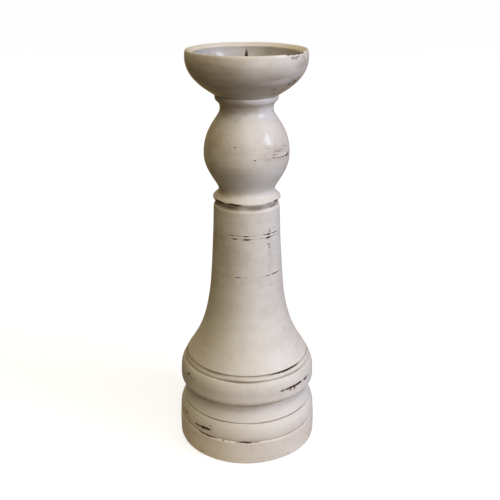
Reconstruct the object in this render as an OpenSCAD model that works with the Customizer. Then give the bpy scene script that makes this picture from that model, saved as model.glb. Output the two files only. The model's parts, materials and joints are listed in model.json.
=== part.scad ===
// Turned wooden candlestick with a lift-out metal drip pan and pricket.
// Millimetres, +Z up, origin on the floor under the middle of the plinth.
// Outlines are written as [radius, height] points and revolved about Z.

/* [Overall] */
// Height of the wooden rim above the floor
total_h = 450; // [446:1:456]
// Segments of each curved stretch of an outline
curve_steps = 12; // [6:1:24]

/* [Plinth] */
// Diameter of the foot band
foot_d = 160.2; // [158:0.2:166]
// Height of the foot band
foot_h = 28.4; // [26:0.1:30]
// Height of the plinth where the shaft stands on it
plinth_h = 65.6; // [64:0.1:68]

/* [Shaft] */
// Diameter of the big torus at the foot of the shaft
torus_d = 154.6; // [153:0.2:160]
// Height of the groove above the torus
torus_top = 101.7; // [100.5:0.1:103]
// Diameter of the column just under its top shoulder
column_d = 72.4; // [71:0.2:75]
// Height of the top of the shaft
shaft_top = 292.2; // [290:0.1:293]

/* [Knop] */
// Diameter of the bead at the bottom of the knop
bead_d = 73.8; // [72:0.2:78]
// Diameter of the waist under the ball
waist_d = 61.4; // [58:0.2:64]
// Diameter of the ball
ball_d = 92; // [88:0.5:96]
// Diameter of the neck above the ball
neck_d = 56.8; // [52:0.2:60]
// Diameter of the ring that carries the bowl
ring_d = 67.6; // [66:0.2:72]
// Height of the top of the knop
knop_top = 404; // [402:0.5:405]

/* [Bowl and drip pan] */
// Largest diameter of the bowl
bowl_d = 127.7; // [126:0.1:134]
// Inside diameter of the drip pan at its edge
pan_d = 108; // [100:0.5:110]
// Diameter of the flat floor of the pan
pan_floor_d = 80; // [70:1:84]
// Depth of the pan
pan_depth = 18.3; // [16:0.1:19]
// Thickness of the sheet metal
pan_t = 0.8; // [0.6:0.1:1]
// Gap all round between the pan and the wood
pan_gap = 0.4; // [0.3:0.05:0.6]

/* [Pricket] */
// Diameter of the spike
spike_d = 3.4; // [3:0.1:5]
// Height of the spike above the floor of the pan
spike_h = 21.8; // [18:0.1:24]
// Length of the point
point_h = 5.8; // [4:0.1:8]

/* [Dowels and felt] */
// Diameter of the dowel between plinth and shaft
base_dowel_d = 25; // [20:1:30]
// Diameter of the dowel between shaft and knop
knop_dowel_d = 20; // [16:1:24]
// Diameter of the dowel between knop and bowl
cup_dowel_d = 16; // [12:1:18]
// Thickness of the felt under the plinth
felt_t = 2; // [1.5:0.1:3]

/* [Hidden] */
$fn = 96;

// Underside: the felt is let into the plinth and stands a little proud of the wood
felt_proud = 0.6;
felt_r = 73;
foot_r = foot_d / 2;

// Torus, bell and column
torus_r = torus_d / 2;
column_r = column_d / 2;
collar_r = 70.8;
recess_r = 34.5;

// Knop
bead_r = bead_d / 2;
waist_r = waist_d / 2;
ball_r = ball_d / 2;
neck_r = neck_d / 2;
ring_r = ring_d / 2;

// Bowl and pan
bowl_r = bowl_d / 2;
ridge_r = bowl_r - 1.5;
pan_r = pan_d / 2;
pan_floor_r = pan_floor_d / 2;
pan_edge_z = total_h - 3.7;
pan_floor_z = pan_edge_z - pan_depth;
seat_z = pan_floor_z - pan_t;
nut_recess_r = 8;
nut_recess_h = 6.2;

// Pricket: an M4 tail goes through the pan, a washer and a nut
tail_r = 2;
tail_hole_r = 2.15;
spike_collar_r = 4.5;
spike_collar_h = 1.6;
washer_r = 4.5;
washer_t = 0.8;
nut_flats = 7;
nut_h = 3.2;
tail_end = 1;

// Dowels stop this far short of the bottom of each hole, which leaves room for glue
glue_gap = 1;
base_dowel_depth = 30;
knop_dowel_depth = 32;
cup_dowel_depth = 12;
flutes = 12;
flute_r = 0.7;
dowel_chamfer = 1.2;

function bezier(a, b, c, d, n = curve_steps) =
    [for (i = [0:n]) let (t = i / n, s = 1 - t)
        s * s * s * a + 3 * s * s * t * b + 3 * s * t * t * c + t * t * t * d];

// Points of the round of radius r about [x, z], from angle a to angle b
function round_edge(x, z, r, a, b, n = 5) =
    [for (i = [0:n]) let (t = a + (b - a) * i / n) [x + r * cos(t), z + r * sin(t)]];

// A V cut of the given depth between two points on a wall
function v_cut(low, depth, high) =
    [low, [min(low[0], high[0]) - depth, (low[1] + high[1]) / 2], high];

function plinth_outline() = concat(
    [[0, felt_t], [felt_r + 0.3, felt_t], [felt_r + 0.3, felt_proud]],
    round_edge(foot_r - 1.3, felt_proud + 1, 1, -90, 0),
    bezier([foot_r - 0.2, felt_proud + 1.4], [foot_r + 0.1, foot_h / 3],
           [foot_r, foot_h * 2 / 3], [foot_r - 0.5, foot_h - 1], 6),
    round_edge(foot_r - 1.6, foot_h - 1, 1, 15, 75, 3),
    v_cut([foot_r - 1.4, foot_h + 0.1], 0.7, [foot_r - 1.7, foot_h + 1.4]),
    bezier([foot_r - 1.6, foot_h + 1.6], [foot_r - 0.5, foot_h + 6],
           [foot_r - 0.4, foot_h + 13], [foot_r - 4.6, foot_h + 21.2]),
    v_cut([foot_r - 4.7, foot_h + 21.3], 0.8, [foot_r - 5, foot_h + 22.6]),
    bezier([foot_r - 5, foot_h + 22.7], [foot_r - 7.6, foot_h + 27.4],
           [collar_r - 0.2, plinth_h - 5.5], [collar_r - 0.3, plinth_h - 0.3], 8),
    [[collar_r - 0.6, plinth_h], [0, plinth_h]]);

function shaft_outline() = concat(
    [[0, plinth_h], [collar_r - 1, plinth_h]],
    round_edge(collar_r - 0.8, plinth_h + 0.8, 0.8, -90, 0, 3),
    bezier([collar_r, plinth_h + 3.6], [collar_r, plinth_h + 5],
           [collar_r + 0.6, plinth_h + 6], [collar_r + 2.2, plinth_h + 6.4], 5),
    bezier([collar_r + 2.4, plinth_h + 6.4], [torus_r + 1.7, plinth_h + 8.6],
           [torus_r, plinth_h + 13], [torus_r, plinth_h + 19.9]),
    bezier([torus_r, plinth_h + 20.4], [torus_r, torus_top - 10],
           [torus_r - 1.1, torus_top - 4.5], [torus_r - 4.1, torus_top - 0.8]),
    v_cut([torus_r - 4.2, torus_top - 0.6], 1.1, [torus_r - 4.9, torus_top + 0.7]),
    bezier([torus_r - 5, torus_top + 0.8], [torus_r - 5.3, torus_top + 2.2],
           [torus_r - 6, torus_top + 4], [torus_r - 6.9, torus_top + 5.1], 5),
    v_cut([torus_r - 7, torus_top + 5.2], 0.9, [torus_r - 7.4, torus_top + 6.5]),
    bezier([torus_r - 7.5, torus_top + 6.6], [torus_r - 16.9, torus_top + 21.6],
           [column_r + 8.4, 143], [column_r + 4.3, 200], 24),
    bezier([column_r + 4.2, 202], [column_r + 2, 228],
           [column_r + 1.1, 256], [column_r, shaft_top - 9.5]),
    bezier([column_r, shaft_top - 9.3], [column_r, shaft_top - 7.9],
           [column_r - 0.2, shaft_top - 6.9], [column_r - 0.8, shaft_top - 6.5], 5),
    bezier([column_r - 0.9, shaft_top - 6.4], [recess_r, shaft_top - 5.8],
           [recess_r - 0.3, shaft_top - 3.2], [recess_r, shaft_top - 0.2], 6),
    [[recess_r - 0.2, shaft_top], [0, shaft_top]]);

function knop_outline() = concat(
    [[0, shaft_top], [bead_r - 1.6, shaft_top]],
    bezier([bead_r - 1.4, shaft_top + 0.1], [bead_r - 0.3, shaft_top + 0.3],
           [bead_r, shaft_top + 1], [bead_r, shaft_top + 1.9], 5),
    bezier([bead_r, shaft_top + 2.1], [bead_r, shaft_top + 4.8],
           [waist_r, shaft_top + 5.2], [waist_r, shaft_top + 10.8]),
    bezier([waist_r, shaft_top + 11], [waist_r, shaft_top + 17.8],
           [ball_r, shaft_top + 30.2], [ball_r, shaft_top + 49.3], 18),
    bezier([ball_r, shaft_top + 49.7], [ball_r, knop_top - 33],
           [neck_r, knop_top - 24], [neck_r, knop_top - 14.2], 18),
    bezier([neck_r, knop_top - 14], [neck_r, knop_top - 10.4],
           [neck_r + 1.2, knop_top - 8.2], [neck_r + 3.2, knop_top - 6.7], 8),
    bezier([neck_r + 3.4, knop_top - 6.6], [ring_r, knop_top - 5],
           [ring_r + 0.4, knop_top - 1.4], [ring_r - 0.9, knop_top - 0.1], 8),
    [[0, knop_top]]);

function bowl_outline() = concat(
    [[0, knop_top], [ring_r - 0.8, knop_top]],
    bezier([ring_r + 0.6, knop_top + 0.3], [ring_r + 6.5, knop_top + 4.4],
           [bowl_r, knop_top + 16.2], [bowl_r, knop_top + 38], 24),
    bezier([bowl_r, knop_top + 38.4], [bowl_r, total_h - 3],
           [bowl_r - 0.6, total_h - 0.4], [ridge_r, total_h], 8),
    bezier([ridge_r - 0.3, total_h], [ridge_r - 2.2, total_h - 0.1],
           [ridge_r - 4.6, total_h - 1.4], [pan_r + pan_t + pan_gap, pan_edge_z], 8),
    pan_curve(pan_r + pan_t + pan_gap, pan_floor_r + 2, pan_edge_z - 0.1, seat_z, 10),
    [[nut_recess_r, seat_z], [nut_recess_r, seat_z - nut_recess_h], [0, seat_z - nut_recess_h]]);

// Inside or outside of the dish: down from its edge and round to its flat floor
function pan_curve(edge_r, floor_r, edge_z, floor_z, n) =
    bezier([edge_r, edge_z], [edge_r, edge_z - 9.4], [floor_r + 9.2, floor_z], [floor_r, floor_z], n);

function reversed(points) = [for (i = [len(points) - 1:-1:0]) points[i]];

function pan_outline() = concat(
    [[tail_hole_r, pan_floor_z]],
    reversed(pan_curve(pan_r, pan_floor_r, pan_edge_z - 0.3, pan_floor_z, 14)),
    round_edge(pan_r + pan_t / 2, pan_edge_z - 0.3, pan_t / 2, 135, 45, 2),
    pan_curve(pan_r + pan_t, pan_floor_r, pan_edge_z - 0.3, seat_z, 14),
    [[tail_hole_r, seat_z]]);

// Fluted dowel in the two holes that meet at the joint
module dowel(joint_z, down, up, r) {
    low = joint_z - down + glue_gap;
    high = joint_z + up - glue_gap;
    difference() {
        rotate_extrude()
            polygon([[0, low], [r - dowel_chamfer, low], [r, low + dowel_chamfer],
                     [r, high - dowel_chamfer], [r - dowel_chamfer, high], [0, high]]);
        for (i = [0:flutes - 1])
            rotate([0, 0, i * 360 / flutes])
                translate([r, 0, low - 1])
                    cylinder(r = flute_r, h = high - low + 2, $fn = 24);
    }
}

module dowel_hole(z, depth, d) {
    translate([0, 0, depth > 0 ? z - 0.5 : z + depth])
        cylinder(d = d, h = abs(depth) + 0.5);
}

module felt_pad() {
    color([0.16, 0.13, 0.11])
        cylinder(r = felt_r, h = felt_t);
}

module plinth() {
    color([0.82, 0.78, 0.71])
        difference() {
            rotate_extrude() polygon(plinth_outline());
            dowel_hole(plinth_h, -base_dowel_depth, base_dowel_d);
        }
}

module base_dowel() {
    color([0.62, 0.44, 0.28])
        dowel(plinth_h, base_dowel_depth, base_dowel_depth, base_dowel_d / 2);
}

module shaft() {
    color([0.84, 0.8, 0.73])
        difference() {
            rotate_extrude() polygon(shaft_outline());
            dowel_hole(plinth_h, base_dowel_depth, base_dowel_d);
            dowel_hole(shaft_top, -knop_dowel_depth, knop_dowel_d);
        }
}

module knop_dowel() {
    color([0.62, 0.44, 0.28])
        dowel(shaft_top, knop_dowel_depth, knop_dowel_depth, knop_dowel_d / 2);
}

module knop() {
    color([0.82, 0.78, 0.71])
        difference() {
            rotate_extrude() polygon(knop_outline());
            dowel_hole(shaft_top, knop_dowel_depth, knop_dowel_d);
            dowel_hole(knop_top, -cup_dowel_depth, cup_dowel_d);
        }
}

module cup_dowel() {
    color([0.62, 0.44, 0.28])
        dowel(knop_top, cup_dowel_depth, cup_dowel_depth, cup_dowel_d / 2);
}

module bowl() {
    color([0.84, 0.8, 0.73])
        difference() {
            rotate_extrude() polygon(bowl_outline());
            dowel_hole(knop_top, cup_dowel_depth, cup_dowel_d);
        }
}

module drip_pan() {
    color([0.7, 0.72, 0.75])
        rotate_extrude() polygon(pan_outline());
}

module pricket() {
    spike_r = spike_d / 2;
    tail_z = seat_z - washer_t - nut_h - tail_end;
    collar_z = pan_floor_z + spike_collar_h;
    tip_z = pan_floor_z + spike_h;
    color([0.25, 0.23, 0.22])
        rotate_extrude()
            polygon([[0, tail_z], [tail_r - 0.4, tail_z], [tail_r, tail_z + 0.4], [tail_r, pan_floor_z],
                     [spike_collar_r, pan_floor_z], [spike_collar_r, collar_z - 0.5],
                     [spike_collar_r - 0.5, collar_z], [spike_r, collar_z], [spike_r, tip_z - point_h],
                     [0.15, tip_z], [0, tip_z]]);
}

module pan_washer() {
    color([0.75, 0.76, 0.78])
        translate([0, 0, seat_z - washer_t])
            difference() {
                cylinder(r = washer_r, h = washer_t);
                translate([0, 0, -1]) cylinder(r = tail_hole_r, h = washer_t + 2);
            }
}

module pan_nut() {
    color([0.75, 0.76, 0.78])
        translate([0, 0, seat_z - washer_t - nut_h])
            difference() {
                cylinder(d = nut_flats / cos(30), h = nut_h, $fn = 6);
                translate([0, 0, -1]) cylinder(r = tail_r, h = nut_h + 2);
            }
}

felt_pad();
plinth();
base_dowel();
shaft();
knop_dowel();
knop();
cup_dowel();
bowl();
drip_pan();
pricket();
pan_washer();
pan_nut();
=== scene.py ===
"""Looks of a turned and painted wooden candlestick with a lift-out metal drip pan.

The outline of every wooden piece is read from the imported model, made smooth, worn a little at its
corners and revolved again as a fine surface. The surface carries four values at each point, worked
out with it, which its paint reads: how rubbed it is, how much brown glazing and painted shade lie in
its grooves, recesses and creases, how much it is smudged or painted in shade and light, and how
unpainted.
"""

import json
import math

import bpy
import numpy as np
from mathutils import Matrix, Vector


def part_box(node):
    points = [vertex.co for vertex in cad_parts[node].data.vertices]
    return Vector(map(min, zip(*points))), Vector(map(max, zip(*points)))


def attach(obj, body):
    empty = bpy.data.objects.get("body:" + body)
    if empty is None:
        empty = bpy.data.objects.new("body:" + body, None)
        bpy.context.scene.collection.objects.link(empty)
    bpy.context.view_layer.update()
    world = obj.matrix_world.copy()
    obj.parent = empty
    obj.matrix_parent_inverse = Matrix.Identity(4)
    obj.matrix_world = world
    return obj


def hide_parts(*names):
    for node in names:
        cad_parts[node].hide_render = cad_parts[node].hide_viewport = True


bl_info = {
    "name": "Turned Candlestick",
    "version": (1, 0, 0),
    "blender": (4, 5, 0),
    "location": "View3D > Sidebar > Candlestick",
    "description": "Builds the painted wood, drip pan, pricket and felt of a turned candlestick",
    "category": "Add Mesh",
}

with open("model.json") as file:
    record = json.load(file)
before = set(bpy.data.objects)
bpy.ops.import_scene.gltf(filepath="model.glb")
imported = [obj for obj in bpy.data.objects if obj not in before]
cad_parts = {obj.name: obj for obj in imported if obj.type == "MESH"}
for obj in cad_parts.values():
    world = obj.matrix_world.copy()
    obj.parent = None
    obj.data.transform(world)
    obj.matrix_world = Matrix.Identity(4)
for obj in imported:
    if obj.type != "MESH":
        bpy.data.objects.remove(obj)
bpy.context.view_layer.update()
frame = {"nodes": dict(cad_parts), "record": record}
MM = 0.001
STAND = "stand"
TRAY = "drip_tray"


# ---------------------------------------------------------------- settings

class WoodSettings(bpy.types.PropertyGroup):
    """Sizes and colours of the painted wood."""

    corner_wear: bpy.props.FloatProperty(
        name="Corner wear", description="How far sanding has rounded the turned corners",
        default=0.45 * MM, min=0.05 * MM, max=1.0 * MM, subtype="DISTANCE", unit="LENGTH")
    unevenness: bpy.props.FloatProperty(
        name="Unevenness", description="Height of the soft waves that hand sanding left",
        default=0.14 * MM, min=0, max=0.5 * MM, subtype="DISTANCE", unit="LENGTH")
    tool_marks: bpy.props.FloatProperty(
        name="Tool marks", description="Height of the fine rings that the gouge left",
        default=0.012 * MM, min=0, max=0.2 * MM, subtype="DISTANCE", unit="LENGTH")
    chip_depth: bpy.props.FloatProperty(
        name="Chip depth", description="How far rubbed places lie under the paint",
        default=0.22 * MM, min=0, max=0.6 * MM, subtype="DISTANCE", unit="LENGTH")
    paint: bpy.props.FloatVectorProperty(
        name="Paint", description="Colour of the off-white paint", subtype="COLOR",
        default=(0.74, 0.685, 0.6), min=0, max=1)
    # also paints shade: the smudges darken the paint towards this colour on the darker left side, in
    # the recess under the bead, under the torus and under the bowl
    stained_and_shaded: bpy.props.FloatVectorProperty(
        name="Stained paint", description="Colour of the paint where it is yellowed and handled",
        subtype="COLOR", default=(0.56, 0.48, 0.38), min=0, max=1)
    # also paints shade: grooves, recesses and creases are darkened towards this brown, as brown glazing
    # and as painted shade
    glaze_and_shade_colour: bpy.props.FloatVectorProperty(
        name="Glaze", description="Colour of the brown that lies in hollows", subtype="COLOR",
        default=(0.2, 0.14, 0.085), min=0, max=1)
    smear: bpy.props.FloatVectorProperty(
        name="Smear", description="Colour of the grey that the brush has smeared on",
        subtype="COLOR", default=(0.33, 0.275, 0.245), min=0, max=1)
    wood: bpy.props.FloatVectorProperty(
        name="Rubbed wood", description="Colour of the dark stained wood under the paint",
        subtype="COLOR", default=(0.042, 0.024, 0.016), min=0, max=1)


class TraySettings(bpy.types.PropertyGroup):
    """Colours of the drip pan, the pricket and the felt, and the pitch of the pricket's thread."""

    pan: bpy.props.FloatVectorProperty(
        name="Pan", description="Colour of the grey sheet metal", subtype="COLOR",
        default=(0.46, 0.43, 0.4), min=0, max=1)
    iron: bpy.props.FloatVectorProperty(
        name="Iron", description="Colour of the dark spike", subtype="COLOR",
        default=(0.055, 0.047, 0.041), min=0, max=1)
    thread_pitch: bpy.props.FloatProperty(
        name="Thread pitch", description="Pitch of the thread on the pricket's tail",
        default=0.7 * MM, min=0.3 * MM, max=1.5 * MM, subtype="DISTANCE", unit="LENGTH")
    felt: bpy.props.FloatVectorProperty(
        name="Felt", description="Colour of the felt under the plinth", subtype="COLOR",
        default=(0.05, 0.038, 0.03), min=0, max=1)


class StudioSettings(bpy.types.PropertyGroup):
    """Camera place, aim and lens."""

    lens: bpy.props.FloatProperty(
        name="Lens", description="Focal length on a 36 mm sensor", default=55.54, min=20, max=200)
    camera_distance: bpy.props.FloatProperty(
        name="Camera distance", description="From the turned axis to the camera, level",
        default=0.8076, min=0.3, max=5, subtype="DISTANCE", unit="LENGTH")
    camera_height: bpy.props.FloatProperty(
        name="Camera height", description="Height of the camera above the floor",
        default=0.5431, min=0, max=3, subtype="DISTANCE", unit="LENGTH")
    camera_tilt: bpy.props.FloatProperty(
        name="Camera tilt", description="How far the camera looks down", subtype="ANGLE",
        default=math.radians(21.21), min=0, max=1.5)
    camera_turn: bpy.props.FloatProperty(
        name="Camera turn", description="How far the camera looks right of the axis",
        subtype="ANGLE", default=math.radians(0.253), min=-0.2, max=0.2)


# ---------------------------------------------------------------- outlines

def cad_outline(node):
    """Outline of a revolved CAD node as [radius, height] points in order, and whether it is a loop.

    Each vertex is turned about Z into one half plane: radius = sqrt(x*x + y*y), height = z. Vertices
    that fall together are one point, and a triangle's edge between two points is a step."""
    mesh = frame["nodes"][node].data
    mesh.calc_loop_triangles()
    co = np.empty(len(mesh.vertices) * 3, np.float32)
    mesh.vertices.foreach_get("co", co)
    corners = np.empty(len(mesh.loop_triangles) * 3, np.int32)
    mesh.loop_triangles.foreach_get("vertices", corners)
    co = co.reshape(-1, 3).astype(float)
    flat = np.round(np.column_stack([np.hypot(co[:, 0], co[:, 1]), co[:, 2]]), 5)
    points, kind = np.unique(flat, axis=0, return_inverse=True)
    apart = np.hypot(*(points[:, None] - points[None]).transpose(2, 0, 1))
    first = np.argmax(apart < 0.03 * MM, axis=1)
    tri = first[kind.reshape(-1)][corners].reshape(-1, 3)
    steps = np.sort(np.vstack([tri[:, :2], tri[:, 1:], tri[:, ::2]]), axis=1)
    steps = np.unique(steps[steps[:, 0] != steps[:, 1]], axis=0)
    near = {i: set() for i in np.unique(steps)}
    for a, b in steps:
        near[a].add(b)
        near[b].add(a)
    ends = [i for i in near if len(near[i]) == 1]
    start = min(ends or near, key=lambda i: points[i][1])
    order = [start]
    while True:
        ahead = [i for i in sorted(near[order[-1]]) if i not in order[-2:] and i != start]
        if not ahead:
            break
        order.append(ahead[0])
    return points[order], not ends


def arc_length(points):
    """Distance along a line of points, from its first one."""
    return np.concatenate([[0], np.cumsum(np.hypot(*np.diff(points, axis=0).T))])


def smooth_outline(points, loop, wear, step=0.1 * MM, sharp=30):
    """Fine, evenly spaced copy of an outline, with its corners worn round.

    Between two points it is Hermite's cubic, p = h0*a + h1*b + h2*ta + h3*tb, whose tangents are
    the mean direction of the steps at a point, or one step's own at a corner over `sharp` degrees.
    The fine line is then averaged along its length with a bell curve of width `wear`."""
    if loop:
        points = np.vstack([points, points[:1]])
    delta = np.diff(points, axis=0)
    length = np.maximum(np.hypot(*delta.T), 1e-9)
    way = delta / length[:, None]
    turn = np.degrees(np.arccos(np.clip(np.sum(way[1:] * way[:-1], axis=1), -1, 1)))
    smooth = (turn < sharp)[:, None]
    mean = way[1:] + way[:-1]
    mean /= np.maximum(np.hypot(*mean.T), 1e-9)[:, None]
    leave = np.vstack([way[:1], np.where(smooth, mean, way[1:])])
    arrive = np.vstack([np.where(smooth, mean, way[:-1]), way[-1:]])
    along = arc_length(points)
    s = np.linspace(0, along[-1], max(8, int(along[-1] / step)))
    k = np.clip(np.searchsorted(along, s, side="right") - 1, 0, len(length) - 1)
    t = ((s - along[k]) / length[k])[:, None]
    size = length[k][:, None]
    fine = ((2 * t**3 - 3 * t**2 + 1) * points[k] + (3 * t**2 - 2 * t**3) * points[k + 1]
            + (t**3 - 2 * t**2 + t) * size * leave[k] + (t**3 - t**2) * size * arrive[k])
    reach = max(1, int(3 * wear / step))
    bell = np.exp(-0.5 * (np.arange(-reach, reach + 1) * step / wear) ** 2)
    bell /= bell.sum()
    if loop:
        fine = fine[:-1]
        padded = np.vstack([fine[-reach:], fine, fine[:reach]])
    else:
        before = 2 * fine[0] - fine[reach:0:-1]
        after = 2 * fine[-1] - fine[-2:-reach - 2:-1]
        padded = np.vstack([before, fine, after])
    worn = np.column_stack([np.convolve(padded[:, i], bell, mode="valid") for i in range(2)])
    worn[:, 0] = np.maximum(worn[:, 0], 0)
    return worn


def outline_shape(fine, loop):
    """Outward normal and curvature along an outline, positive on ridges and negative in hollows."""
    if loop:
        ahead = np.roll(fine, -1, axis=0) - np.roll(fine, 1, axis=0)
    else:
        ahead = np.gradient(fine, axis=0)
    way = ahead / np.maximum(np.hypot(*ahead.T), 1e-12)[:, None]
    normal = np.column_stack([way[:, 1], -way[:, 0]])
    angle = np.unwrap(np.arctan2(way[:, 1], way[:, 0]))
    distance = arc_length(fine) + np.arange(len(fine)) * 1e-12
    return normal, np.gradient(angle, distance)


def spread_rings(fine, curvature, count, extra):
    """Indices of `count` points of a fine outline, closer where it bends and where `extra` says.

    There are as many points to a length as 0.35 + 5 * bend + extra says, bend being the curvature
    times a millimetre, at most 1.2, evened out over nine points."""
    bend = np.minimum(np.abs(curvature) * MM, 1.2)
    bend = np.convolve(bend, np.ones(9) / 9, mode="same")
    weight = np.cumsum(0.35 + 5 * bend + extra)
    wanted = np.linspace(weight[0], weight[-1], count)
    return np.unique(np.searchsorted(weight, wanted).clip(0, len(fine) - 1))


def turned_outwards(points):
    """The outline in the order that leaves the wood on its left, so that normals point out of it."""
    r, z = points.T
    area = np.sum(r * np.roll(z, -1) - np.roll(r, -1) * z)
    return points if area > 0 else points[::-1]


# ---------------------------------------------------------------- noise, wear, stains and painted shade

def waves(angle, height, seed, around, along, count=24):
    """Soft noise of about -1 to 1: a sum of cosines cos(m*angle + w*height + p).

    m is a whole number up to `around`, so that the ends meet, and w is up to 1/`along`."""
    rng = np.random.default_rng(seed)
    total = np.zeros(np.broadcast(angle, height).shape)
    for m, w, p in zip(rng.integers(0, around + 1, count), rng.uniform(-1, 1, count),
                       rng.uniform(0, 2 * math.pi, count)):
        total += np.cos(m * angle + w * height / along + p)
    return total / math.sqrt(count / 2) / 1.6


def between(low, high, value):
    """0 below low, 1 above high, and a smooth step 3t*t - 2t*t*t from one to the other."""
    t = np.clip((value - low) / (high - low), 0, 1)
    return t * t * (3 - 2 * t)


# Rubbed places: height and thickness in mm, middle and half width in degrees from the front (to the
# right is positive), strength, and how many mm the mark climbs from its left end to its right end
RUBS = {
    "plinth": [
        (36.7, 0.7, -38, 6, 0.9, 0.4), (42.2, 0.8, -32, 1.4, 0.9, 0), (40.2, 0.4, -30, 2.5, 0.6, 0),
        (28.6, 0.6, -37, 12, 0.95, 0), (28.3, 0.8, -20, 1.1, 1.0, 0), (28.3, 0.7, -15, 1.0, 0.8, 0),
        (28.4, 0.7, -1, 6.5, 1.25, 0), (28.4, 0.5, 8, 4, 0.65, 0), (28.3, 0.5, -8, 3, 0.7, 0),
        (4.0, 1.1, 36, 0.9, 1.0, 0), (11.9, 1.1, 62, 0.9, 0.85, 0), (4.5, 1.0, -41, 4, 0.55, 0),
    ],
    "shaft": [
        (259.2, 0.5, -1.5, 6, 1.3, 0), (259.2, 0.5, -27, 9, 0.75, 0), (259.3, 0.4, 12, 3, 0.65, 0),
        (259.2, 0.5, 31, 6, 1.0, 0), (259.4, 1.1, 39, 5, 1.3, 0.4), (258.9, 0.5, 53, 11, 1.1, 0),
        (255.7, 0.6, -21, 7, 1.1, 0), (255.6, 0.8, 0, 8, 1.5, 0), (255.5, 0.5, 26, 3, 0.95, 0),
        (255.5, 1.0, 39, 7, 1.3, 0.6), (255.4, 0.5, 52, 3, 1.0, 0), (264.6, 0.6, 41, 4, 1.0, 0.3),
        (262.2, 0.6, 41.5, 4, 0.95, 0.3), (247.0, 0.7, 39, 3.5, 1.05, 0.5),
        (244.6, 0.6, 40.5, 3, 0.9, 0.3), (248.3, 0.5, 38.5, 2.5, 0.8, 0), (224.8, 0.5, 39, 2, 0.5, 0),
        (225.2, 0.9, 46, 1.2, 0.5, 0), (247, 20, 41, 1.6, 0.3, 0),
        (212.4, 0.5, -15, 6, 1.15, 0), (212.3, 0.4, -2, 5, 0.6, 0), (212.3, 0.5, 36, 7, 1.0, 0),
        (212.2, 0.7, 52, 11, 1.3, 0), (212.0, 0.8, 68, 2, 0.95, 0), (212.0, 0.3, -38, 15, 0.5, 0),
        (223.5, 0.9, -22, 1.6, 0.6, 0), (207.3, 0.4, 20, 3, 0.45, 0), (207.3, 0.35, -9, 3, 0.4, 0),
        (107.4, 0.9, 40, 19, 1.2, 0), (93.3, 1.3, -60, 1.3, 1.2, 0), (91.3, 0.8, -60, 1.1, 0.7, 0),
        (89.8, 1.4, -50, 2.5, 0.5, -2), (88.2, 0.5, 33, 4, 0.95, 0), (77.2, 0.5, 16, 22, 0.5, 0),
    ],
    "knop": [
        (357.2, 0.8, -16, 1.8, 1.1, 0), (344.3, 0.6, 11, 1.5, 1.2, 0), (344.2, 0.35, 9, 2.5, 0.6, 0.8),
        (343.9, 0.35, 30, 9, 0.65, 0.5), (344.2, 0.4, 42, 8, 0.9, 0), (343.9, 0.45, 56, 8, 0.95, 0),
        (343.9, 1.4, 66, 4.5, 1.35, 1.0), (345.0, 0.8, 73, 4, 1.1, 0), (355.5, 0.42, 29, 7, 0.72, -3),
        (354.8, 0.42, 60, 13, 0.7, -2.2), (350.5, 0.42, 49, 15, 0.7, -4),
        (347.7, 0.42, 40, 12, 0.66, -0.8), (352.0, 0.42, 50, 14, 0.64, 2), (332, 3, 62, 4, 0.35, 4),
        (388.3, 0.8, 71, 2, 1.0, 0),
        (303.9, 0.9, -16, 1.5, 0.5, 0), (293.6, 1.1, -58, 21, 1.45, 0), (293.7, 1.1, -22, 15, 1.5, 0),
        (293.4, 0.5, -5, 7, 0.75, 0), (293.8, 1.1, 57, 8, 1.4, 0), (293.5, 0.7, 40, 9, 0.8, 0),
    ],
    "bowl": [
        (449.7, 0.8, 52, 10, 1.5, 0), (449.8, 0.6, 41, 4, 1.2, 0), (446.6, 0.7, 50, 4, 0.6, 0),
        (444.3, 0.6, 60, 3, 0.62, 1), (441.1, 0.5, 66, 3, 0.5, 0), (447.9, 0.5, 46, 3, 0.55, 0),
        (415.7, 1.4, 32, 5, 0.45, 0),
    ],
}
# Lines and edges on which the back is rubbed too: height in mm, and how many marks
BACK_RUBS = {
    "plinth": [(28.4, 7), (37, 4), (50.4, 3), (6, 5)],
    "shaft": [(259.2, 4), (255.6, 5), (212.4, 4), (107.6, 3), (102.6, 2), (88, 5), (77, 2), (240, 3)],
    "knop": [(293.5, 5), (344, 4), (352, 3), (396, 3), (336, 2)],
    "bowl": [(444, 3), (417, 2), (430, 2)],
}
# Smudges and painted shade: the paint is greyer and browner there. Some are stains; some are painted
# shade, on the darker left side, in the recess under the bead, in the cove under the torus, under the
# bowl and round its underside. Columns: middle and half height in mm, middle and half width in degrees,
# and strength, which is below 0 where the paint is cleaner, which paints light on the front and right
# of the knop and on the top of the plinth
SMUDGES_AND_SHADE = {
    "plinth": [(40, 5, -62, 10, 0.4), (50, 14, 0, 400, -0.6)],
    "shaft": [(240, 26, -40, 30, 0.3), (74, 3, 0, 400, 0.5), (236, 26, 42, 6, 0.18),
              (289, 3, -58, 36, 1.8)],
    "knop": [(332, 12, -40, 40, 0.4), (303, 6, 25, 50, -0.7), (301, 8, -60, 35, 0.35),
             (360, 34, -50, 35, 0.18), (320, 12, 10, 70, -0.3), (393, 5, -50, 55, 1.2),
             (345, 9, 45, 22, 0.4), (362, 8, -55, 25, 0.2), (400, 3, -35, 35, 1.4),
             (401, 3, 25, 45, -0.8)],
    "bowl": [(437, 4, -27, 14, 0.7), (431, 8, -60, 32, 0.7), (430, 5, 30, 16, 0.5),
             (414, 9, 0, 400, 0.9), (437, 16, -30, 70, 0.3), (441, 6, 62, 12, 0.5),
             (443, 7, 30, 40, -0.2), (417, 8, -30, 40, 0.3)],
}
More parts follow.
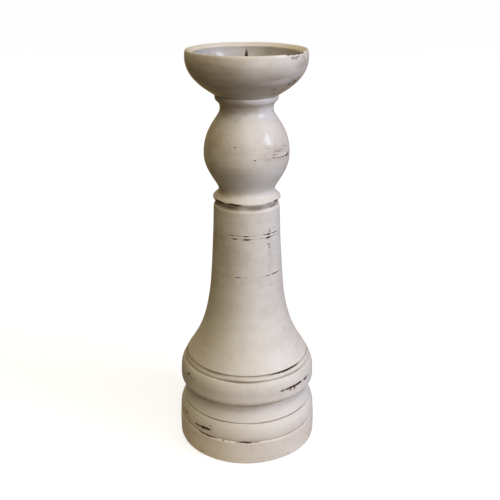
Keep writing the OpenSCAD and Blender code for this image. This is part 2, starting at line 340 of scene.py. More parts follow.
# Torn patches, each a crowd of short slanting marks: middle and half height in mm, middle and half
# width in degrees, number of marks, and how many mm the patch climbs from left to right
TORN = {
    "plinth": [(37.2, 1.5, -41, 9, 26, 1.2), (39.5, 2.5, -67, 4, 5, 0), (36.7, 0.5, -37, 6, 8, 0)],
    "shaft": [(87.9, 1.0, 46, 17, 44, 0.4), (88.2, 0.8, 38, 8, 16, 0.3), (88.2, 0.5, 50, 14, 16, 0.6),
              (84.5, 1.4, 45, 6, 9, -2), (91.5, 1.5, -57, 6, 6, -3)],
    "knop": [(349.5, 4.5, 52, 20, 14, 3), (344.2, 0.8, 60, 14, 8, 0.8)],
    "bowl": [(445, 3.5, 55, 12, 12, -3), (420, 3.5, 56, 7, 24, 7), (449.6, 0.25, 50, 12, 9, 0)],
}
# Middle strength of the marks in each piece's torn patches
TORN_STRENGTH = {"plinth": 1.2, "shaft": 1.2, "knop": 0.75, "bowl": 1.05}


def torn_rubs(node, seed):
    """The short slanting marks of a piece's torn patches, at random places in each patch."""
    rng = np.random.default_rng(seed)
    marks = []
    for height, tall, middle, half, count, climb in TORN[node]:
        for _ in range(count):
            along, across = rng.uniform(-1, 1), rng.normal(0, 0.5)
            marks.append((height + tall * across + climb * along / 2, rng.uniform(0.3, 0.75),
                          middle + half * along, rng.uniform(1.0, 3.2),
                          TORN_STRENGTH[node] * rng.uniform(0.6, 1.15), rng.uniform(-0.2, 1.6)))
    return marks


def back_rubs(node, seed):
    """Marks on the half that faces away, drawn at random along the piece's lines and edges."""
    rng = np.random.default_rng(seed)
    marks = []
    for height, count in BACK_RUBS[node]:
        for _ in range(count):
            marks.append((height + rng.normal(0, 0.2), rng.uniform(0.4, 1.0), rng.uniform(88, 272),
                          rng.uniform(1.5, 10), rng.uniform(0.6, 1.3), rng.normal(0, 0.4)))
    return marks


def rub(marks, degrees, z, seed):
    """How rubbed each point is: the largest of the marks' bells.

    A mark is strength * exp(-(across/thickness)^2 - (along/half)^4), across being the height above
    its line, which climbs from left to right and wanders a little, and it thins out to its ends."""
    worn = np.zeros(np.broadcast(degrees, z).shape)
    for i, (height, thick, middle, half, strength, climb) in enumerate(marks):
        along = ((degrees - middle + 180) % 360 - 180) / half
        near = (np.abs(along) < 2).ravel()
        wander = 0.3 * thick * waves(np.radians(degrees[:, near]), 0 * z, seed + i, 90, 1, 10)
        across = (z - height * MM - climb * MM * along[:, near] / 2 - wander * MM) / (thick * MM)
        taper = np.clip(1 - 0.75 * along[:, near] ** 2, 0.3, 1)
        bell = strength * np.exp(-((across / taper) ** 2) - along[:, near] ** 4)
        worn[:, near] = np.maximum(worn[:, near], bell)
    return worn


def smudge_and_shade(places, degrees, z, seed):
    """How smudged each point is, as stains and as painted shade or light: soft bells at the listed
    places, patched and streaked by noise.
    """
    stain_and_shade = np.zeros(np.broadcast(degrees, z).shape)
    for height, tall, middle, half, strength in places:
        along = ((degrees - middle + 180) % 360 - 180) / half
        across = (z - height * MM) / (tall * MM)
        stain_and_shade = stain_and_shade + strength * np.exp(-across**2 - along**2)
    angle = np.radians(degrees)
    streaks = waves(angle, z, seed, 9, 1.1 * MM, 40)
    patches = waves(angle, z, seed + 1, 6, 7 * MM, 30)
    return stain_and_shade * (1 + 0.35 * streaks + 0.35 * patches)


# ---------------------------------------------------------------- meshes

def make_piece(name, points, faces, values, material, body, nodes):
    """Mesh object from arrays, smooth shaded, riding on its body in place of its CAD nodes."""
    mesh = bpy.data.meshes.new(name)
    mesh.from_pydata(points, [], faces)
    mesh.polygons.foreach_set("use_smooth", np.ones(len(mesh.polygons), bool))
    for key, value in values.items():
        layer = mesh.attributes.new(key, "FLOAT", "POINT")
        layer.data.foreach_set("value", np.asarray(value, np.float32).ravel())
    mesh.validate()
    mesh.update()
    mesh.materials.append(material)
    piece = bpy.data.objects.new(name, mesh)
    bpy.context.collection.objects.link(piece)
    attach(piece, body)
    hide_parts(*nodes)
    return piece


def band_faces(rings, segments, loop):
    """Quads between neighbouring rings of `segments` points, closed round, and lengthways in a loop."""
    i = np.arange(rings if loop else rings - 1)[:, None]
    j = np.arange(segments)[None, :]
    up, right = (i + 1) % rings, (j + 1) % segments
    quads = np.stack([i * segments + j, i * segments + right, up * segments + right,
                      up * segments + j], axis=-1)
    return quads.reshape(-1, 4)


def revolve(radius, height, angle, loop):
    """Points and faces of a surface of revolution whose radius and height vary round it.

    Point = (radius*sin(angle), -radius*cos(angle), height), so angle 0 is the front and a quarter
    turn is the right. An open surface is closed by a fan round one point at each end."""
    rings, segments = radius.shape
    points = np.stack([radius * np.sin(angle), -radius * np.cos(angle), height], axis=-1)
    points = points.reshape(-1, 3)
    faces = band_faces(rings, segments, loop).tolist()
    if loop:
        return points, faces
    ends = [[0, 0, height[0].mean()], [0, 0, height[-1].mean()]]
    points = np.vstack([points, ends])
    j = np.arange(segments)
    right = (j + 1) % segments
    first, last, top = len(points) - 2, len(points) - 1, (rings - 1) * segments
    faces += np.column_stack([right, j, np.full(segments, first)]).tolist()
    faces += np.column_stack([top + j, top + right, np.full(segments, last)]).tolist()
    return points, faces


# ---------------------------------------------------------------- shader maths

class Value:
    """A shader socket on which Python's operators add Math nodes."""

    def __init__(self, tree, socket):
        self.tree = tree
        self.socket = socket

    def _math(self, operation, *values):
        return self.tree.node("ShaderNodeMath", dict(operation=operation), dict(enumerate(values)))

    def __add__(self, other):
        return self._math("ADD", self, other)

    def __radd__(self, other):
        return self._math("ADD", other, self)

    def __sub__(self, other):
        return self._math("SUBTRACT", self, other)

    def __mul__(self, other):
        return self._math("MULTIPLY", self, other)

    def __truediv__(self, other):
        return self._math("DIVIDE", self, other)

    def __pow__(self, other):
        return self._math("POWER", self, other)

    def step(self, low, high):
        """0 below low, 1 above high, smooth between."""
        return self.tree.node(
            "ShaderNodeMapRange", dict(interpolation_type="SMOOTHSTEP", clamp=True),
            {"Value": self, "From Min": low, "From Max": high, "To Min": 0.0, "To Max": 1.0})


class Shader:
    """A material's node tree, its Principled BSDF, and short ways to add to them."""

    def __init__(self, name, **constants):
        self.material = bpy.data.materials.new(name)
        self.material.use_nodes = True
        self.nodes = self.material.node_tree.nodes
        self.links = self.material.node_tree.links
        self.surface = next(n for n in self.nodes if n.type == "BSDF_PRINCIPLED")
        for key, value in constants.items():
            self.surface.inputs[key.replace("_", " ")].default_value = value

    def node(self, kind, settings=None, values=None, output=0):
        """Adds a node: settings first, then each socket's value or link. Returns one output."""
        node = self.nodes.new(kind)
        for key, value in (settings or {}).items():
            setattr(node, key, value)
        for key, value in (values or {}).items():
            self.put(node.inputs[key], value)
        return Value(self, node.outputs[output])

    def put(self, socket, value):
        """Links a Value to a socket, or sets a number or colour on it."""
        if isinstance(value, Value):
            self.links.new(value.socket, socket)
        elif hasattr(value, "__len__") and len(value) == 3 and socket.type == "RGBA":
            socket.default_value = (*value, 1)
        else:
            socket.default_value = value

    def out(self, key, value):
        """Feeds an input of the Principled BSDF."""
        self.put(self.surface.inputs[key], value)

    def mix(self, factor, a, b, blend="MIX"):
        """Colour a where factor is 0 and colour b where it is 1."""
        node = self.nodes.new("ShaderNodeMix")
        node.data_type = "RGBA"
        node.blend_type = blend
        for key, value in ((0, factor), (6, a), (7, b)):
            self.put(node.inputs[key], value)
        return Value(self, node.outputs[2])

    def place(self):
        """Object coordinates as a vector."""
        return self.node("ShaderNodeTexCoord", output="Object")

    def axes(self, vector):
        """The three values of a vector."""
        split = self.nodes.new("ShaderNodeSeparateXYZ")
        self.put(split.inputs[0], vector)
        return [Value(self, split.outputs[i]) for i in range(3)]

    def vector(self, x, y, z):
        return self.node("ShaderNodeCombineXYZ", values={0: x, 1: y, 2: z})

    def scaled(self, vector, *scale):
        return self.node("ShaderNodeVectorMath", dict(operation="MULTIPLY"), {0: vector, 1: scale})

    def noise(self, vector, scale, detail=3.0, rough=0.55, warp=0.0):
        """Noise from 0 to 1, about `scale` waves to a metre."""
        return self.node(
            "ShaderNodeTexNoise", dict(noise_dimensions="3D"),
            {"Vector": vector, "Scale": scale, "Detail": detail, "Roughness": rough,
             "Distortion": warp})

    def attribute(self, name):
        return self.node("ShaderNodeAttribute", dict(attribute_name=name), output="Fac")

    def bump(self, height):
        """Normal of a surface raised by `height` in metres."""
        values = {"Height": height, "Distance": 1.0, "Strength": 1.0}
        return self.node("ShaderNodeBump", values=values, output="Normal")


def round_axis(shader, x, y, z, around, along):
    """Vector for noise that runs in rings: nearly constant round the axis, quick along it.

    (x/r*around, y/r*around, z*along), where r = sqrt(x*x + y*y)."""
    r = (x * x + y * y + 1e-8) ** 0.5
    return shader.vector(x / r * around, y / r * around, z * along)


# ---------------------------------------------------------------- materials

def painted_wood(wood):
    """Off-white satin paint over dark wood: rubbed, brushed, lightly ringed, glazing brown in its
    grooves, and with painted shade and painted light worked into its colour.

    The knop and the bowl, above `glossy_low`, have been handled and waxed more and shine more."""
    s = Shader("painted_wood", Specular_IOR_Level=0.28, Coat_Roughness=0.1)
    glossy_low, glossy_high = 290 * MM, 295 * MM
    chip_edge, chip_grain = (0.15, 0.06, 0.035), (0.09, 0.055, 0.035)
    raw_grain, raw_wood = (0.3, 0.18, 0.095), (0.42, 0.275, 0.16)
    place = s.place()
    x, y, z = s.axes(place)
    worn, glaze_and_shade = s.attribute("worn"), s.attribute("glaze_and_shade")
    stain_and_shade, raw = s.attribute("stain_and_shade"), s.attribute("raw")
    # noise in patches, blotches and grains, then in rings round the axis
    broad = s.noise(place, 16, 3, 0.55)
    mottle = s.noise(place, 120, 4, 0.6, 0.4)
    grit = s.noise(place, 900, 3, 0.6)
    rings = s.noise(round_axis(s, x, y, z, 1.1, 420), 1.0, 4, 0.62)
    brush = s.noise(round_axis(s, x, y, z, 6.0, 1300), 1.0, 3, 0.55)
    bands = s.noise(round_axis(s, x, y, z, 0.7, 90), 1.0, 2, 0.5)
    cloud = (broad - 0.5) * 0.8 + (mottle - 0.5) * 0.5 + (bands - 0.5) * 0.5
    # yellowed paint, grey smears and brown glaze
    # yellowed paint, which also paints shade on the darker side and undersides and paints light where the     smudges are below 0, then grey smears that follow the same smudges a little, then brown glazing and painted shade
    stain_and_shade_mix = (cloud + stain_and_shade * (0.75 + mottle * 0.5) + 0.12).step(-0.1, 0.75)
    paint = s.mix(stain_and_shade_mix, tuple(wood.paint), tuple(wood.stained_and_shaded))
    paint = s.mix(((rings - 0.5) * 0.8 + (brush - 0.5) * 0.7).step(0.02, 0.3) * 0.3, paint,
                  tuple(wood.stained_and_shaded))
    wash = s.noise(round_axis(s, x, y, z, 2.4, 150), 1.0, 4, 0.62, 0.5)
    strokes = s.noise(round_axis(s, x, y, z, 4.0, 800), 1.0, 3, 0.7)
    veil = ((wash - 0.5) * 1.2 + (strokes - 0.5) * 0.9 + stain_and_shade * 0.3).step(0.08, 0.6)
    paint = s.mix(veil * 0.5, paint, tuple(wood.smear))
    # brown glazing and painted shade in grooves, recesses and creases
    glaze_and_shade_mask = (glaze_and_shade * (0.7 + mottle * 0.6)).step(0.1, 1.0)
    paint = s.mix(glaze_and_shade_mask * 0.78, paint, tuple(wood.glaze_and_shade_colour))
    # rubbed places with ragged edges: a stained halo, a reddish edge and dark wood within
    ragged = (grit - 0.5) * 0.7 + (mottle - 0.5) * 0.7 + (brush - 0.5) * 0.7
    halo = (worn + ragged * 0.6).step(0.12, 0.6)
    paint = s.mix(halo * 0.4, paint, tuple(wood.glaze_and_shade_colour))
    bare = (worn + ragged).step(0.52, 0.6)
    deep = (worn + ragged * 0.8).step(0.6, 0.95)
    grain = s.noise(s.scaled(place, 240, 240, 26), 1.0, 4, 0.65, 0.4)
    dark = s.mix(deep, chip_edge, tuple(wood.wood))
    dark = s.mix(grain.step(0.4, 0.8) * 0.5, dark, chip_grain)
    natural = s.mix(grain.step(0.3, 0.8), raw_grain, raw_wood)
    colour = s.mix(bare, paint, dark)
    # bare turned wood where there never was paint
    unpainted = (raw + (mottle - 0.5) * 0.5).step(0.4, 0.6)
    colour = s.mix(unpainted, colour, natural)
    s.out("Base Color", colour)
    s.out("Coat Weight", 0.1 + z.step(glossy_low, glossy_high) * 0.42)
    s.out("Roughness", 0.4 + mottle * 0.1 + stain_and_shade_mix * 0.08 + bare * 0.25 + unpainted * 0.3)
    height = (rings - 0.5) * (0.06 * MM) + (brush - 0.5) * (0.02 * MM) + (mottle - 0.5) * (0.04 * MM)
    height = height + (grit - 0.5) * (0.01 * MM) - bare * (0.09 * MM) + bare * grain * (0.05 * MM)
    s.out("Normal", s.bump(height))
    return s.material


def dowel_wood():
    """Pale unpainted dowel with its grain along the axis."""
    s = Shader("dowel_wood", Specular_IOR_Level=0.3)
    pale, brown, fleck = (0.5, 0.34, 0.2), (0.36, 0.22, 0.12), (0.22, 0.12, 0.06)
    place = s.place()
    grain = s.noise(s.scaled(place, 320, 320, 12), 1.0, 5, 0.6, 0.5)
    flecks = s.noise(s.scaled(place, 900, 900, 120), 1.0, 2, 0.5)
    colour = s.mix(grain.step(0.3, 0.7), pale, brown)
    colour = s.mix(flecks.step(0.62, 0.7) * 0.5, colour, fleck)
    s.out("Base Color", colour)
    s.out("Roughness", 0.62 + grain * 0.15)
    s.out("Normal", s.bump((grain - 0.5) * (0.08 * MM)))
    return s.material


def pan_metal(tray):
    """Spun grey sheet metal under clear lacquer, with faint rings, spots and a dull patina."""
    s = Shader("pan_metal", Metallic=0.1, Coat_Weight=0.6, Coat_Roughness=0.06)
    place = s.place()
    x, y, z = s.axes(place)
    r = (x * x + y * y) ** 0.5
    spun = s.noise(s.vector(r * 2600, z * 2600, x * 8), 1.0, 3, 0.6)
    patina = s.noise(place, 60, 4, 0.6, 0.4)
    spots = s.noise(place, 420, 2, 0.5)
    base = tuple(tray.pan)
    colour = s.mix(patina.step(0.35, 0.75) * 0.5, base, tuple(c * 0.72 for c in base))
    colour = s.mix(spots.step(0.66, 0.74) * 0.35, colour, tuple(c * 0.5 for c in base))
    s.out("Base Color", colour)
    s.out("Roughness", 0.52 + patina * 0.14 + (spun - 0.5) * 0.08)
    s.out("Normal", s.bump((spun - 0.5) * (0.004 * MM) + (patina - 0.5) * (0.02 * MM)))
    return s.material


def dark_iron(tray):
    """Dark forged iron, dull and a little pitted."""
    s = Shader("dark_iron", Metallic=1.0)
    rusty = (0.12, 0.05, 0.025)
    place = s.place()
    scale = s.noise(place, 700, 4, 0.65)
    rust = s.noise(place, 260, 3, 0.6)
    base = tuple(tray.iron)
    colour = s.mix(scale.step(0.35, 0.7), base, tuple(c * 2.2 for c in base))
    colour = s.mix(rust.step(0.58, 0.72) * 0.6, colour, rusty)
    s.out("Base Color", colour)
    s.out("Roughness", 0.3 + scale * 0.2)
    s.out("Normal", s.bump((scale - 0.5) * (0.04 * MM)))
    return s.material


def zinc_steel():
    """Bright zinc plate with pale spangles."""
    s = Shader("zinc_steel", Metallic=1.0)
    bright, dull = (0.62, 0.62, 0.6), (0.47, 0.475, 0.48)
    place = s.place()
    cells = s.node("ShaderNodeTexVoronoi", values={"Vector": place, "Scale": 900.0}, output="Color")
    cloud = s.noise(place, 500, 3, 0.6)
    colour = s.mix(cloud.step(0.3, 0.7), bright, dull)
    colour = s.mix(0.12, colour, cells, "OVERLAY")
    s.out("Base Color", colour)
    s.out("Roughness", 0.26 + cloud * 0.16)
    s.out("Normal", s.bump((cloud - 0.5) * (0.02 * MM)))
    return s.material


def felt_cloth(tray):
    """Matted wool felt: short tangled fibres and small pills."""
    s = Shader("felt_cloth", Sheen_Weight=0.35, Sheen_Roughness=0.5, Specular_IOR_Level=0.15)
    place = s.place()
    fibres = s.noise(place, 1500, 4, 0.7, 1.6)
    tufts = s.noise(place, 260, 3, 0.6, 0.5)
    base = tuple(tray.felt)
    colour = s.mix(fibres.step(0.35, 0.7), base, tuple(c * 2.1 for c in base))
    colour = s.mix(tufts.step(0.5, 0.8) * 0.4, colour, tuple(c * 1.5 for c in base))
    s.out("Base Color", colour)
    s.out("Roughness", 0.86 + tufts * 0.1)
    s.out("Normal", s.bump((fibres - 0.5) * (0.25 * MM) + (tufts - 0.5) * (0.2 * MM)))
    return s.material


def studio_paper():
    """Pale seamless paper with a faint tooth, lit from behind, and clear from outside.

    Near the candlestick it takes more of its light from the lamps, and so shows a soft shadow."""
    s = Shader("studio_paper", Roughness=0.9, Specular_IOR_Level=0.05, Emission_Strength=1.0)
    near_paper, far_paper = (0.4, 0.396, 0.39), (0.1, 0.1, 0.1)
    near_glow, far_glow = (0.74, 0.74, 0.74), (0.97, 0.97, 0.97)
    place = s.place()
    x, y, z = s.axes(place)
    tooth = s.noise(place, 300, 3, 0.6)
    far = ((x * x + y * y + z * z) ** 0.5).step(0.2, 1.6)
    s.out("Base Color", s.mix(far, near_paper, far_paper))
    s.out("Emission Color", s.mix(far, near_glow, far_glow))
    s.out("Normal", s.bump((tooth - 0.5) * (0.05 * MM)))
    clear = s.nodes.new("ShaderNodeBsdfTransparent")
    below = s.node("ShaderNodeNewGeometry", output="Backfacing")
    mixer = s.nodes.new("ShaderNodeMixShader")
    s.put(mixer.inputs[0], below)
    s.links.new(s.surface.outputs[0], mixer.inputs[1])
    s.links.new(clear.outputs[0], mixer.inputs[2])
    target = next(n for n in s.nodes if n.type == "OUTPUT_MATERIAL")
    s.links.new(mixer.outputs[0], target.inputs["Surface"])
    return s.material


def bounce_board():
    """Warm pale board, unseen, that throws light back up on the foot and under the torus and bowl."""
    s = Shader("bounce_board", Roughness=0.9, Specular_IOR_Level=0.1)
    cloud = s.noise(s.place(), 6, 2, 0.5)
    s.out("Base Color", s.mix(cloud, (0.68, 0.59, 0.46), (0.72, 0.63, 0.5)))
    return s.material


# ---------------------------------------------------------------- pieces

def hidden_faces(fine, normal):
    """1 on the level faces and dowel holes that other pieces cover, 0 on what shows."""
    level = between(0.97, 0.995, np.abs(normal[:, 1]))
    hole = fine[:, 0] < 0.4 * fine[:, 0].max()
    ends = (fine[:, 1] < fine[:, 1].min() + 3 * MM) | (fine[:, 1] > fine[:, 1].max() - 3 * MM)
    return np.maximum(level * ends, hole * 1.0)


def bowl_inside(fine, normal):
    """1 in the bowl's cavity under the pan and on the face that stands on the knop."""
    pan_low, pan_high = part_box("drip_pan")
    gap, nut_room = 0.6 * MM, 8 * MM
    under_pan = (fine[:, 0] < pan_high.x + gap) & (fine[:, 1] > pan_low.z - nut_room)
    foot = (fine[:, 1] < fine[:, 1].min() + 0.3 * MM) & (normal[:, 1] < -0.9)
    hole = fine[:, 0] < 10 * MM
    return np.maximum(np.maximum(under_pan & (normal[:, 1] > -0.5), foot), hole) * 1.0


def turned_piece(node, rings, segments, material, wood, seed, lines=(), hidden=hidden_faces):
    """One turned wooden piece from its CAD outline.

    Radius and height are the worn outline moved along its normal by
    unevenness + tool marks - cut lines - chips, all of them functions of angle and height.
    A line is its height, depth and half width in mm, and how much it darkens: brown glazing in its cut
    and painted shade round it, or only painted shade where its depth is 0. The rings are
    closer together at the lines and further apart where `hidden` is 1."""
    points, loop = cad_outline(node)
    fine = smooth_outline(turned_outwards(points), loop, wood.corner_wear)
    normal, curvature = outline_shape(fine, loop)
    inside = hidden(fine, normal)
    line_reach, closer, sparser = 1.6 * MM, 0.8, 0.33
    marked = sum((np.abs(fine[:, 1] - h * MM) < line_reach) * 1.0 for h, *_ in lines)
    extra = closer * np.minimum(marked, 1) * (1 - inside) - sparser * inside
    keep = spread_rings(fine, curvature * (1 - 0.9 * inside), rings, extra)
    ring, normal, curvature = fine[keep], normal[keep], curvature[keep]
    inside = inside[keep][:, None]
    angle = np.linspace(0, 2 * math.pi, segments, endpoint=False)[None, :]
    degrees = np.degrees(angle)
    z = ring[:, 1][:, None]
    r = ring[:, 0][:, None]
    shown = 1 - inside
    swell_length, gouge_pitch = 9 * MM, 0.55 * MM
    swell = wood.unevenness * waves(angle, z, seed, 7, swell_length)
    swell = swell + wood.tool_marks * waves(0 * angle, z, seed + 1, 0, gouge_pitch, 40)
    marks = RUBS[node] + torn_rubs(node, seed + 45) + back_rubs(node, seed + 40)
    worn = rub(marks, degrees, z, seed + 50)
    # stains, painted shade on the darker left side and undersides, and painted light where it is below
    # 0
    stain_and_shade = smudge_and_shade(SMUDGES_AND_SHADE[node], degrees, z, seed + 60)
    glaze_and_shade = np.zeros(worn.shape)
    cut = np.zeros(worn.shape)
    cutter_sway = 0.12 * MM
    for i, (height, depth, width, dark) in enumerate(lines):
        sway = cutter_sway * waves(angle, 0 * z, seed + 90 + i, 5, 1)
        bell = np.exp(-(((z - height * MM - sway) / (width * MM)) ** 2))
        strength = 0.75 + 0.35 * waves(angle, 0 * z, seed + 70 + i, 9, 1)
        cut = cut + depth * MM * bell * strength
        glaze_and_shade = glaze_and_shade + dark * bell * strength
    dip = wood.chip_depth * between(0.35, 0.8, worn)
    move = (swell - cut - dip) * shown
    radius = np.maximum(r + move * normal[:, 0][:, None], 0)
    height = z + move * normal[:, 1][:, None]
    # painted shade, with some brown glazing, in concave creases: the tighter the crease, the darker
    crease_glaze_and_shade = between(0.15, 1.6, -curvature * MM)[:, None]
    glaze_and_shade = np.clip(glaze_and_shade + 0.45 * crease_glaze_and_shade, 0, 1) * shown
    verts, faces = revolve(radius, height, angle, loop)
    spare = len(verts) - radius.size
    values = {
        "worn": np.concatenate([(worn * shown).ravel(), np.zeros(spare)]),
        "glaze_and_shade": np.concatenate([glaze_and_shade.ravel(), np.zeros(spare)]),
        "stain_and_shade": np.concatenate([stain_and_shade.ravel(), np.zeros(spare)]),
        "raw": np.concatenate([(inside + 0 * angle).ravel(), np.ones(spare)]),
    }
    piece = make_piece("turned_" + node, verts, faces, values, material, STAND, [node])
    return piece


def metal_piece(name, node, rings, segments, material, wear, shape=None):
    """A revolved metal or felt piece from its CAD outline.

    Each point of the outline, worn round at its corners, is moved along its normal by
    shape(angle, radius, height)."""
    points, loop = cad_outline(node)
    fine = smooth_outline(turned_outwards(points), loop, wear, step=0.03 * MM)
    normal, curvature = outline_shape(fine, loop)
    keep = spread_rings(fine, curvature, rings, 0)
    ring, normal = fine[keep], normal[keep]
    angle = np.linspace(0, 2 * math.pi, segments, endpoint=False)[None, :]
    r, z = ring[:, 0][:, None], ring[:, 1][:, None]
    move = shape(angle, r, z) if shape else 0 * angle
    radius = np.maximum(r + move * normal[:, 0][:, None], 0)
    height = z + move * normal[:, 1][:, None]
    verts, faces = revolve(radius, height, angle, loop)
    body = next(b for b, members in frame["record"]["behaviour"]["bodies"].items() if node in members)
    piece = make_piece(name, verts, faces, {}, material, body, [node])
    return piece


def hex_nut(material):
    """Chamfered hexagon nut.

    Its side is at flats/2 / cos(a), a being the angle from the middle of the nearest flat, and its
    two faces fall away at 30 degrees outside a circle a little smaller than the corners."""
    low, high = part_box("pan_nut")
    flats = min(high.x - low.x, high.y - low.y)
    angle = np.linspace(0, 2 * math.pi, 96, endpoint=False)[None, :]
    from_flat = (angle + math.pi / 6) % (math.pi / 3) - math.pi / 6
    side = flats / 2 / np.cos(from_flat)
    ring = np.full(side.shape, flats * 0.475)
    fall = np.maximum(side - ring, 0) * math.tan(math.radians(30))
    middle, half = (low.z + high.z) / 2, (high.z - low.z) / 2
    ease = 0.25 * MM
    bore = np.full(side.shape, 2 * MM)
    level = np.zeros(side.shape)
    radius = np.vstack([bore, bore + ease, ring, side, side, ring, bore + ease, bore])
    upper = np.vstack([level + half - ease, level + half, level + half, half - fall])
    height = middle + np.vstack([-upper, upper[::-1]])
    verts, faces = revolve(radius, height, angle, True)
    piece = make_piece("hexagon_nut", verts, faces, {}, material, TRAY, ["pan_nut"])
    piece.data.polygons.foreach_set("use_smooth", np.zeros(len(piece.data.polygons), bool))
    return piece


# ---------------------------------------------------------------- operators

class CANDLESTICK_OT_turn_wood(bpy.types.Operator):
    """Turn the plinth, the shaft, the knop and the bowl, and paint them"""

    bl_idname = "candlestick.turn_wood"
    bl_label = "Turn Painted Wood"

    def execute(self, context):
        wood = context.scene.candlestick_wood
        paint = painted_wood(wood)
        # Lines of depth 0 only darken the paint, as painted shade: under the torus at 64.5 and 69.5 mm,
        # at the foot's step at 28.9, in the recess under the bead at 289.2 and under the ring below the
        # bowl at 397.2. Elsewhere a line's dark is brown glazing in its cut and painted shade round it.
        turned_piece("plinth", 270, 360, paint, wood, 11, lines=[
            (64.5, 0.0, 3.0, 0.3), (50.6, 0.25, 1.3, 0.85), (28.9, 0.0, 0.9, 0.4)])
        turned_piece("shaft", 310, 320, paint, wood, 23, lines=[
            (262.8, 0.07, 0.4, 0.3), (259.2, 0.28, 0.42, 0.8), (255.6, 0.32, 0.42, 0.85),
            (253.5, 0.07, 0.35, 0.3), (251.2, 0.09, 0.4, 0.45), (248.6, 0.06, 0.35, 0.3),
            (289.2, 0.0, 2.6, 0.95), (212.4, 0.12, 0.4, 0.55), (77.2, 0.15, 0.4, 0.3),
            (107.3, 0.1, 1.4, 0.85), (101.9, 0.1, 1.3, 0.75), (69.5, 0.0, 3.5, 0.45)])
        turned_piece("knop", 330, 290, paint, wood, 37, lines=[
            (397.2, 0.0, 1.4, 0.3), (344, 0.06, 0.3, 0.08)])
        turned_piece("bowl", 300, 320, paint, wood, 53, hidden=bowl_inside)
        return {"FINISHED"}


class CANDLESTICK_OT_make_tray(bpy.types.Operator):
    """Make the drip pan, the pricket, its washer and its nut"""

    bl_idname = "candlestick.make_tray"
    bl_label = "Make Drip Tray"

    def execute(self, context):
        tray = context.scene.candlestick_tray
        floor_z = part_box("drip_pan")[0].z

        def dents(angle, r, z):
            """Soft dents in the sheet, but none under the washer."""
            dent, spacing = 0.06 * MM, 12 * MM
            return dent * waves(angle, z, 5, 5, spacing) * between(5 * MM, 12 * MM, r)

        def thread_and_hammer(angle, r, z):
            """V thread, -depth * triangle(height/pitch - angle/circle), and hammer marks above it."""
            depth, mark = 0.32 * MM, 0.05 * MM
            turn = (z / tray.thread_pitch - angle / (2 * math.pi)) % 1
            ridge = np.abs(turn * 2 - 1)
            tail = between(floor_z, floor_z - 0.4 * MM, z) * between(1.5 * MM, 1.9 * MM, r)
            hammer = mark * waves(angle, z, 9, 4, 1.5 * MM)
            return -depth * ridge * tail + hammer * (1 - tail) * (z > floor_z)

        metal_piece("spun_pan", "drip_pan", 300, 220, pan_metal(tray), 0.12 * MM, dents)
        metal_piece("iron_pricket", "pricket", 420, 64, dark_iron(tray), 0.08 * MM,
                    thread_and_hammer)
        zinc = zinc_steel()
        metal_piece("plain_washer", "pan_washer", 48, 96, zinc, 0.08 * MM)
        hex_nut(zinc)
        return {"FINISHED"}


class CANDLESTICK_OT_fit_dowels(bpy.types.Operator):
    """Give the three dowels their wood"""

    bl_idname = "candlestick.fit_dowels"
    bl_label = "Fit Dowels"

    def execute(self, context):
        wood = dowel_wood()
        for node in ("base_dowel", "knop_dowel", "cup_dowel"):
            dowel = frame["nodes"][node]
            dowel.data.materials.clear()
            dowel.data.materials.append(wood)
        return {"FINISHED"}


class CANDLESTICK_OT_lay_felt(bpy.types.Operator):
    """Lay the felt under the plinth"""

    bl_idname = "candlestick.lay_felt"
    bl_label = "Lay Felt"

    def execute(self, context):
        tray = context.scene.candlestick_tray

        def frayed(angle, r, z):
            """The cut edge wanders a little."""
            fray = 0.1 * MM
            return fray * waves(angle, z, 3, 90, 1 * MM) * between(70 * MM, 73 * MM, r)

        metal_piece("felt_disc", "felt_pad", 60, 360, felt_cloth(tray), 0.2 * MM, frayed)
        return {"FINISHED"}


# Soft boxes 3 m from the middle of the candlestick: degrees to the right of the front, degrees up,
# width and height in metres, watts and colour
LAMPS = [
    ("window", 66, 24, 0.75, 1.0, 26, (0.68, 0.78, 1.0)),
    ("right", 60, 27, 2.0, 2.0, 58, (0.59, 0.66, 0.98)),
    ("front", 22, 8, 1.8, 1.8, 20, (1.0, 0.91, 0.86)),
    ("high_front", 0, 45, 1.8, 1.8, 19, (1.0, 0.89, 0.6)),
    ("ceiling", 8, 68, 2.4, 2.4, 32, (1.0, 0.87, 0.54)),
    ("back", -120, 45, 1.8, 1.8, 8, (1.0, 0.88, 0.55)),
    ("behind", 180, 25, 2.4, 2.4, 42, (1.0, 0.92, 0.82)),
]
LAMP_DISTANCE = 3.0
LAMP_AIM = 0.25
# Boxes wider than this light the candlestick but make no reflection in it
REFLECTED_WIDTH = 1.9


def soft_box(name, turn, lift, wide, tall, power, colour):
    """A soft box on a sphere round the candlestick, facing its middle."""
    turn, lift = math.radians(turn), math.radians(lift)
    light = bpy.data.lights.new(name, "AREA")
    light.shape = "RECTANGLE"
    light.size = wide
    light.size_y = tall
    light.energy = power
    light.color = colour
    lamp = bpy.data.objects.new(name, light)
    bpy.context.collection.objects.link(lamp)
    level, up = LAMP_DISTANCE * math.cos(lift), LAMP_DISTANCE * math.sin(lift)
    lamp.location = (level * math.sin(turn), -level * math.cos(turn), LAMP_AIM + up)
    lamp.rotation_euler = (math.pi / 2 - lift, 0, turn)
    lamp.visible_glossy = wide < REFLECTED_WIDTH


def stage_piece(name, points, faces, material):
    """Mesh object that belongs to the studio and not to the candlestick."""
    mesh = bpy.data.meshes.new(name)
    mesh.from_pydata(points, [], faces)
    mesh.polygons.foreach_set("use_smooth", np.ones(len(mesh.polygons), bool))
    mesh.materials.append(material)
    piece = bpy.data.objects.new(name, mesh)
    bpy.context.collection.objects.link(piece)
    return piece


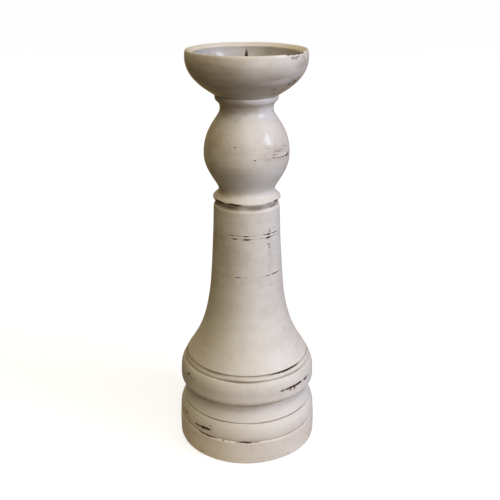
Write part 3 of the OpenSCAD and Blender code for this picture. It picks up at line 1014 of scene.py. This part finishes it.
class CANDLESTICK_OT_set_stage(bpy.types.Operator):
    """Set the floor, the lights and the camera"""

    bl_idname = "candlestick.set_stage"
    bl_label = "Set Stage"

    def execute(self, context):
        studio = context.scene.candlestick_studio
        # the paper: flat for 3 m round the candlestick, then curving up to a dome. It is seen, and
        # it throws no light, reflection or shadow on the candlestick
        flat = 3.0
        curve = 3.0
        dome = flat + curve
        bend = np.radians(np.arange(6, 91, 6))
        rise = np.radians(np.arange(6, 85, 6))
        radius = np.concatenate([
            np.linspace(0.4, flat, 8), flat + curve * np.sin(bend), dome * np.cos(rise)])
        height = np.concatenate([
            np.zeros(8), curve - curve * np.cos(bend), curve + dome * np.sin(rise)])
        angle = np.linspace(0, 2 * math.pi, 96, endpoint=False)[None, :]
        verts, faces = revolve(radius[:, None] + 0 * angle, height[:, None] + 0 * angle, angle, False)
        paper = stage_piece("paper", verts, [face[::-1] for face in faces], studio_paper())
        paper.visible_diffuse = False
        paper.visible_glossy = False
        paper.visible_transmission = False
        paper.visible_shadow = False
        # the board: a disc of 0.22 m radius just under the paper
        rings = np.array([[0.02], [0.22]])
        verts, faces = revolve(rings + 0 * angle, 0 * rings - 0.5 * MM + 0 * angle, angle, False)
        board = stage_piece("board", verts, faces, bounce_board())
        board.visible_camera = False
        board.visible_shadow = False

        # the room: a warm glow that only reflections show
        world = bpy.data.worlds.new("studio")
        context.scene.world = world
        world.use_nodes = True
        room = world.node_tree.nodes["Background"]
        room.inputs["Color"].default_value = (1, 0.7, 0.3, 1)
        room.inputs["Strength"].default_value = 0.3
        world.cycles_visibility.diffuse = False
        for lamp in LAMPS:
            soft_box(*lamp)
        context.scene.view_settings.view_transform = "Standard"

        camera = bpy.data.objects.new("camera", bpy.data.cameras.new("camera"))
        context.collection.objects.link(camera)
        camera.data.lens = studio.lens
        camera.data.sensor_width = 36
        camera.location = (0, -studio.camera_distance, studio.camera_height)
        camera.rotation_euler = (math.pi / 2 - studio.camera_tilt, 0, -studio.camera_turn)
        context.scene.camera = camera
        return {"FINISHED"}


class CANDLESTICK_PT_panel(bpy.types.Panel):
    """The steps that build the candlestick"""

    bl_idname = "CANDLESTICK_PT_panel"
    bl_label = "Candlestick"
    bl_space_type = "VIEW_3D"
    bl_region_type = "UI"
    bl_category = "Candlestick"

    def draw(self, context):
        for step in STEPS:
            self.layout.operator(step.bl_idname)
        for group in ("candlestick_wood", "candlestick_tray", "candlestick_studio"):
            settings = getattr(context.scene, group)
            box = self.layout.box()
            for key in settings.bl_rna.properties.keys():
                if key not in ("rna_type", "name"):
                    box.prop(settings, key)


STEPS = (
    CANDLESTICK_OT_turn_wood,
    CANDLESTICK_OT_make_tray,
    CANDLESTICK_OT_fit_dowels,
    CANDLESTICK_OT_lay_felt,
    CANDLESTICK_OT_set_stage,
)
GROUPS = {
    "candlestick_wood": WoodSettings,
    "candlestick_tray": TraySettings,
    "candlestick_studio": StudioSettings,
}


def register():
    for cls in (*GROUPS.values(), *STEPS, CANDLESTICK_PT_panel):
        bpy.utils.register_class(cls)
    for key, group in GROUPS.items():
        setattr(bpy.types.Scene, key, bpy.props.PointerProperty(type=group))


def unregister():
    for key in GROUPS:
        delattr(bpy.types.Scene, key)
    for cls in reversed((*GROUPS.values(), *STEPS, CANDLESTICK_PT_panel)):
        bpy.utils.unregister_class(cls)


def main():
    register()
    bpy.ops.candlestick.turn_wood()
    bpy.ops.candlestick.make_tray()
    bpy.ops.candlestick.fit_dowels()
    bpy.ops.candlestick.lay_felt()
    bpy.ops.candlestick.set_stage()


if __name__ == "__main__":
    main()
